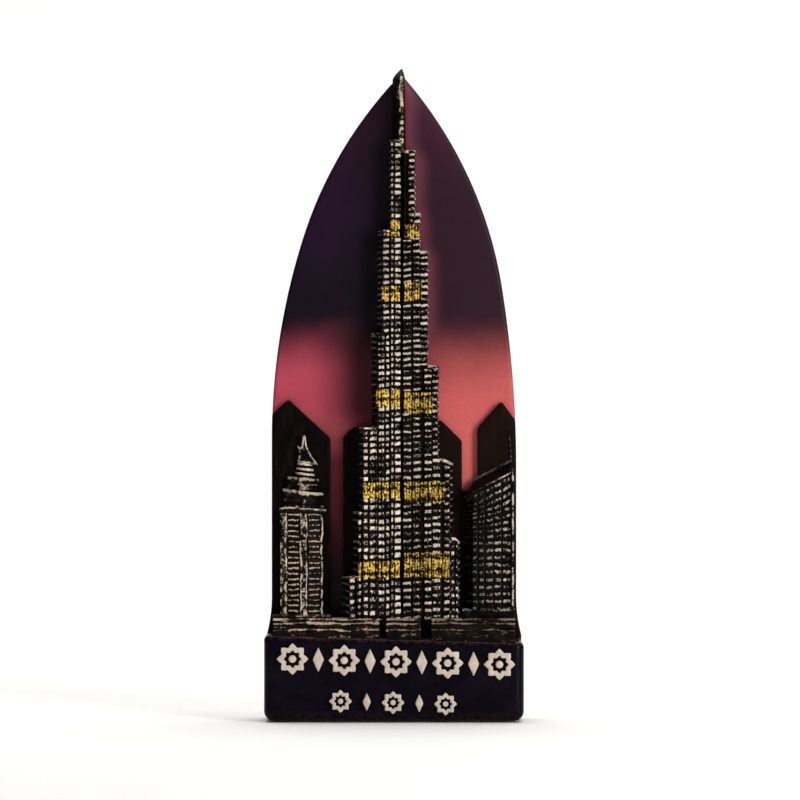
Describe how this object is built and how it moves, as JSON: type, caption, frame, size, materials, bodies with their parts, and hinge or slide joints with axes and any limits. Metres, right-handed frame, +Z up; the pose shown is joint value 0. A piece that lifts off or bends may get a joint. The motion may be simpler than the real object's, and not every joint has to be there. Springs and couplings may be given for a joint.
{
  "type": "souvenir relief plaque",
  "caption": "Pointed-arch painted resin plaque with a stepped tower in relief, flat far blocks behind it, a thick plinth with a raised frieze, and magnets in its back.",
  "frame": {"origin": "on the surface that the plinth stands on, under the middle of the whole plaque's width and depth", "axes": "+Z up the plaque to the needle's tip, +X to the viewer's right, -Y out of the front face"},
  "size_m": [0.0398, 0.0134, 0.1],
  "materials": {
    "sky_paint": "satin",
    "plinth_paint": "satin",
    "far_block_paint": "satin",
    "podium_paint": "satin",
    "tower_paint": "satin",
    "side_block_paint": "satin",
    "cream_paint": "matte",
    "ferrite": "matte",
    "glue": "gloss"
  },
  "bodies": {
    "root": {"back_plate": "sky_paint", "far_block_centre": "far_block_paint", "far_block_left": "far_block_paint", "far_block_right": "far_block_paint", "frieze_lozenges_lower": "cream_paint", "frieze_lozenges_upper": "cream_paint", "frieze_stars_lower": "cream_paint", "frieze_stars_upper": "cream_paint", "left_block_base": "podium_paint", "left_block_cornice": "side_block_paint", "left_block_lower_drum": "side_block_paint", "left_block_rings": "side_block_paint", "left_block_sail": "side_block_paint", "left_block_shaft": "side_block_paint", "left_block_upper_drum": "side_block_paint", "magnet_glue_lower": "glue", "magnet_glue_upper": "glue", "magnet_lower": "ferrite", "magnet_upper": "ferrite", "plinth": "plinth_paint", "podium_centre": "podium_paint", "podium_left": "podium_paint", "podium_right": "podium_paint", "right_block_base": "podium_paint", "right_block_body": "side_block_paint", "right_block_fin": "side_block_paint", "right_block_roof": "side_block_paint", "tower_left_bay_1": "tower_paint", "tower_left_bay_2": "tower_paint", "tower_left_bay_3": "tower_paint", "tower_left_bay_4": "tower_paint", "tower_left_bay_5": "tower_paint", "tower_left_bay_6": "tower_paint", "tower_needle": "tower_paint", "tower_right_bay_1": "tower_paint", "tower_right_bay_2": "tower_paint", "tower_right_bay_3": "tower_paint", "tower_right_bay_4": "tower_paint", "tower_right_bay_5": "tower_paint", "tower_right_bay_6": "tower_paint"}
  },
  "joints": []
}
